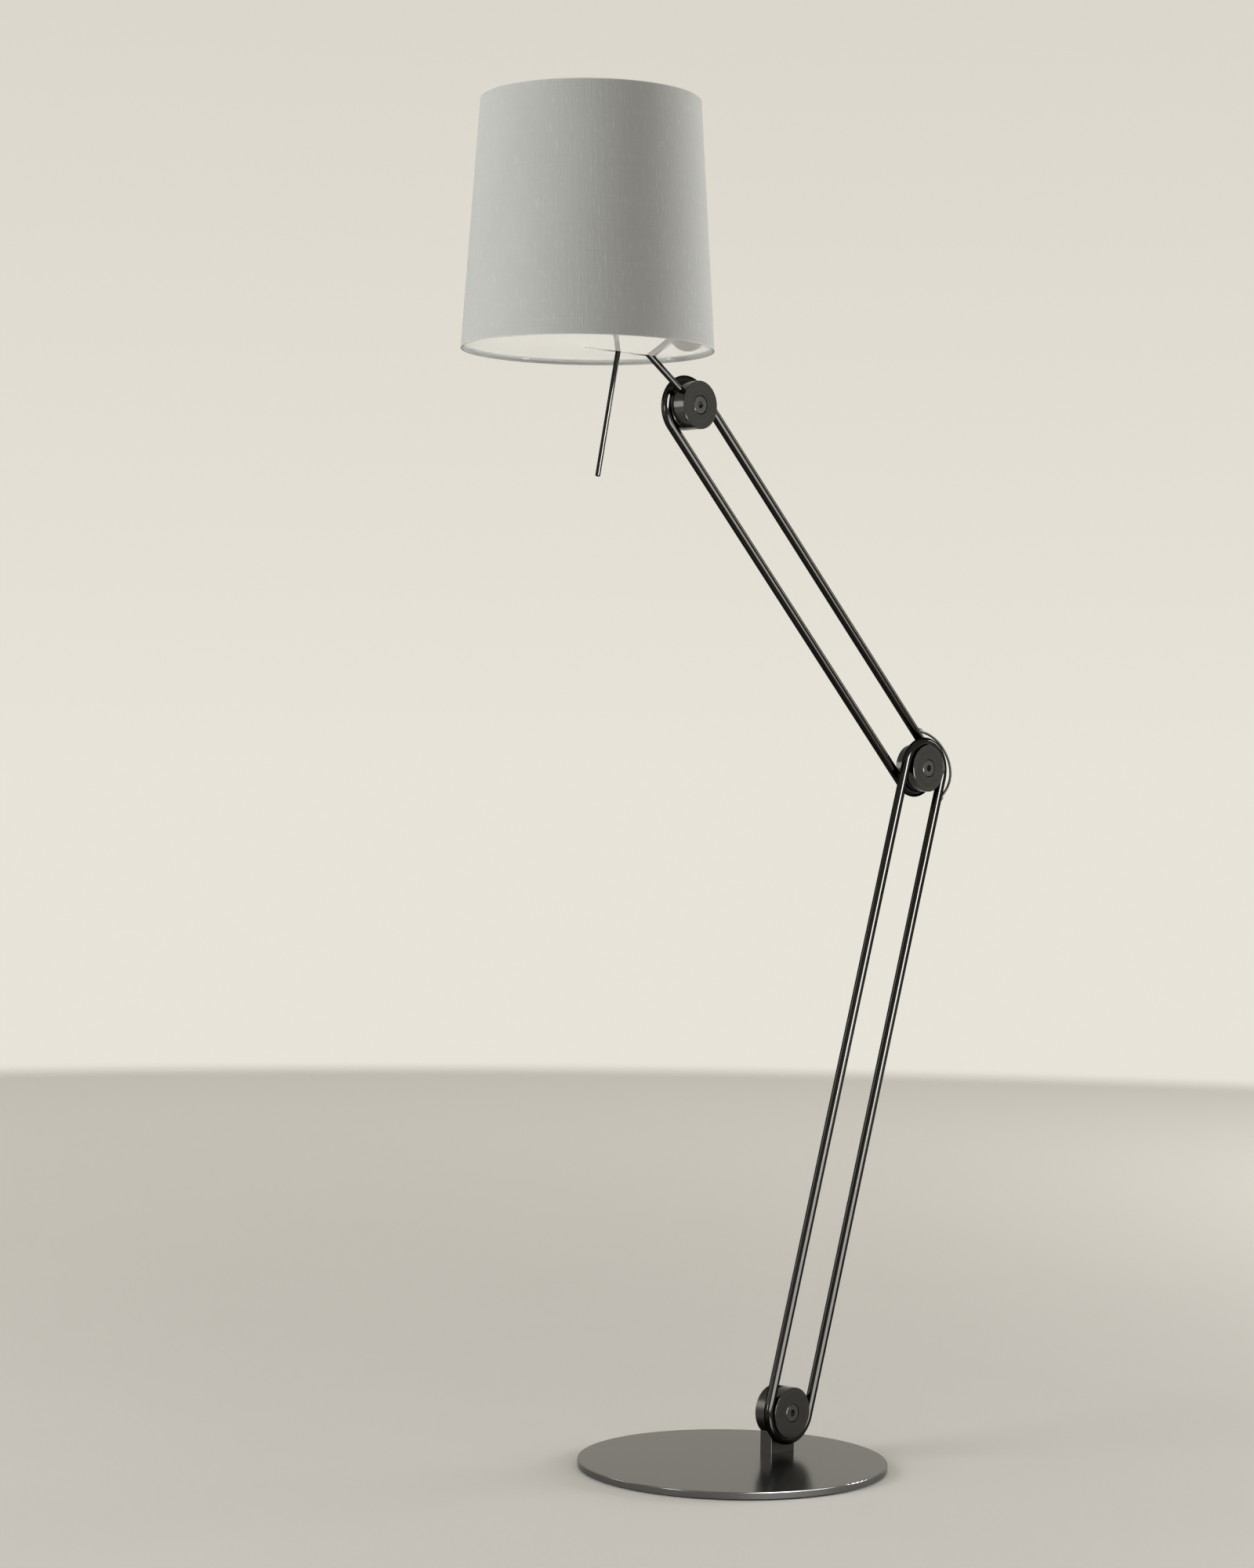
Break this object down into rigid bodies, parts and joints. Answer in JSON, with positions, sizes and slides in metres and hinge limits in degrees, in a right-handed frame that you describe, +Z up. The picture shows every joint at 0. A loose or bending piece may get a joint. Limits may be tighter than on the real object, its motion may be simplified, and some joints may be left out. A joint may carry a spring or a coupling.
{
  "type": "adjustable arm floor lamp",
  "caption": "Floor lamp with a round weighted base, two hinged arms of looped tube, a tilting head with a handle, and a conical fabric shade with a slotted diffuser.",
  "frame": {"origin": "centre of the felt pad's underside, on the floor", "axes": "+Z up; the arms swing in planes parallel to XZ, with the elbow towards +X and the shade towards -X; every hinge axis is along Y and the bolt heads face -Y"},
  "size_m": [0.8263, 0.38, 1.63],
  "materials": {
    "base_steel": "satin gunmetal plating",
    "bracket_steel": "polished gunmetal plating",
    "felt": "pressed felt",
    "tube_gunmetal": "polished gunmetal plating",
    "hub_turned": "fine turned, gunmetal anodised",
    "bolt_turned": "fine turned, gunmetal plating",
    "fastener_steel": "zinc plated",
    "slip_plastic": "natural acetal",
    "cap_plastic": "fine matt black",
    "black_rubber": "moulded rubber",
    "black_cable": "smooth black sheath",
    "chrome_rod": "polished",
    "holder_plastic": "white moulded",
    "holder_ceramic": "glazed ceramic",
    "contact_brass": "sprung brass strip",
    "bulb_cap_metal": "nickel plated",
    "bulb_glass": "opal coated",
    "shade_cloth": "light grey cloth with upright slubs",
    "shade_backing": "white translucent backing film",
    "white_wire": "white powder coat",
    "opal_acrylic": "polished opal acrylic",
    "clip_plastic": "white moulded"
  },
  "bodies": {
    "base": {"felt_pad": "felt", "base_plate": "base_steel", "base_bracket": "bracket_steel", "base_screws": "fastener_steel", "cable_grommet": "black_rubber", "base_pivot_bolt": "bolt_turned", "base_spring_washers": "fastener_steel", "base_friction_washer": "slip_plastic", "base_lock_nut": "fastener_steel", "base_rear_cap": "cap_plastic"},
    "lower_arm": {"lower_arm_loop": "tube_gunmetal", "lower_base_hub_front_cheek": "hub_turned", "lower_base_hub_rear_cheek": "hub_turned", "lower_elbow_hub_front_cheek": "hub_turned", "lower_elbow_hub_rear_cheek": "hub_turned", "lower_arm_clamp_screws": "fastener_steel", "lower_cable_grommet": "black_rubber", "lower_arm_lead": "black_cable", "elbow_cable": "black_cable"},
    "upper_arm": {"upper_arm_loop": "tube_gunmetal", "upper_elbow_hub_front_cheek": "hub_turned", "upper_elbow_hub_rear_cheek": "hub_turned", "upper_head_hub_front_cheek": "hub_turned", "upper_head_hub_rear_cheek": "hub_turned", "upper_arm_clamp_screws": "fastener_steel", "upper_cable_grommet": "black_rubber", "upper_arm_lead": "black_cable", "elbow_pivot_bolt": "bolt_turned", "head_pivot_bolt": "bolt_turned", "upper_arm_spring_washers": "fastener_steel", "upper_arm_friction_washers": "slip_plastic", "upper_arm_lock_nuts": "fastener_steel", "upper_arm_rear_caps": "cap_plastic"},
    "head": {"head_drum": "hub_turned", "stem_grub_screw": "fastener_steel", "stem_tube": "chrome_rod", "handle_rod": "chrome_rod", "handle_stud": "fastener_steel", "stem_lead": "black_cable", "stem_eye": "chrome_rod"},
    "shade": {"bottom_hem": "shade_cloth", "bottom_wire_ring": "white_wire", "bulb_cap": "bulb_cap_metal", "bulb_envelope": "bulb_glass", "diffuser": "opal_acrylic", "diffuser_clips": "clip_plastic", "lampholder_base": "holder_plastic", "lampholder_contact": "contact_brass", "lampholder_core": "holder_ceramic", "lampholder_shell": "holder_plastic", "shade_fabric": "shade_cloth", "shade_fixing_rings": "holder_plastic", "shade_fork": "chrome_rod", "shade_hinge_bolt": "fastener_steel", "shade_hinge_washers": "slip_plastic", "shade_liner": "shade_backing", "shade_spider": "white_wire", "shade_thumb_nut": "fastener_steel", "top_hem": "shade_cloth"}
  },
  "joints": [
    {"name": "base_tilt", "type": "hinge", "parent": "base", "child": "lower_arm", "pos_m": [0.0815, 0, 0.06], "axis": [0, 1, 0], "range_deg": [-30, 15]},
    {"name": "elbow", "type": "hinge", "parent": "lower_arm", "child": "upper_arm", "pos_m": [0.32622, 0, 0.86043], "axis": [0, 1, 0], "range_deg": [-55, 60], "deforming": ["elbow_cable"]},
    {"name": "head_tilt", "type": "hinge", "parent": "upper_arm", "child": "head", "pos_m": [-0.11208, 0, 1.29114], "axis": [0, 1, 0], "range_deg": [-75, 75]},
    {"name": "shade_tilt", "type": "hinge", "parent": "head", "child": "shade", "pos_m": [-0.2927, -0.0196, 1.4123], "axis": [0, 1, 0], "range_deg": [-50, 0]}
  ]
}
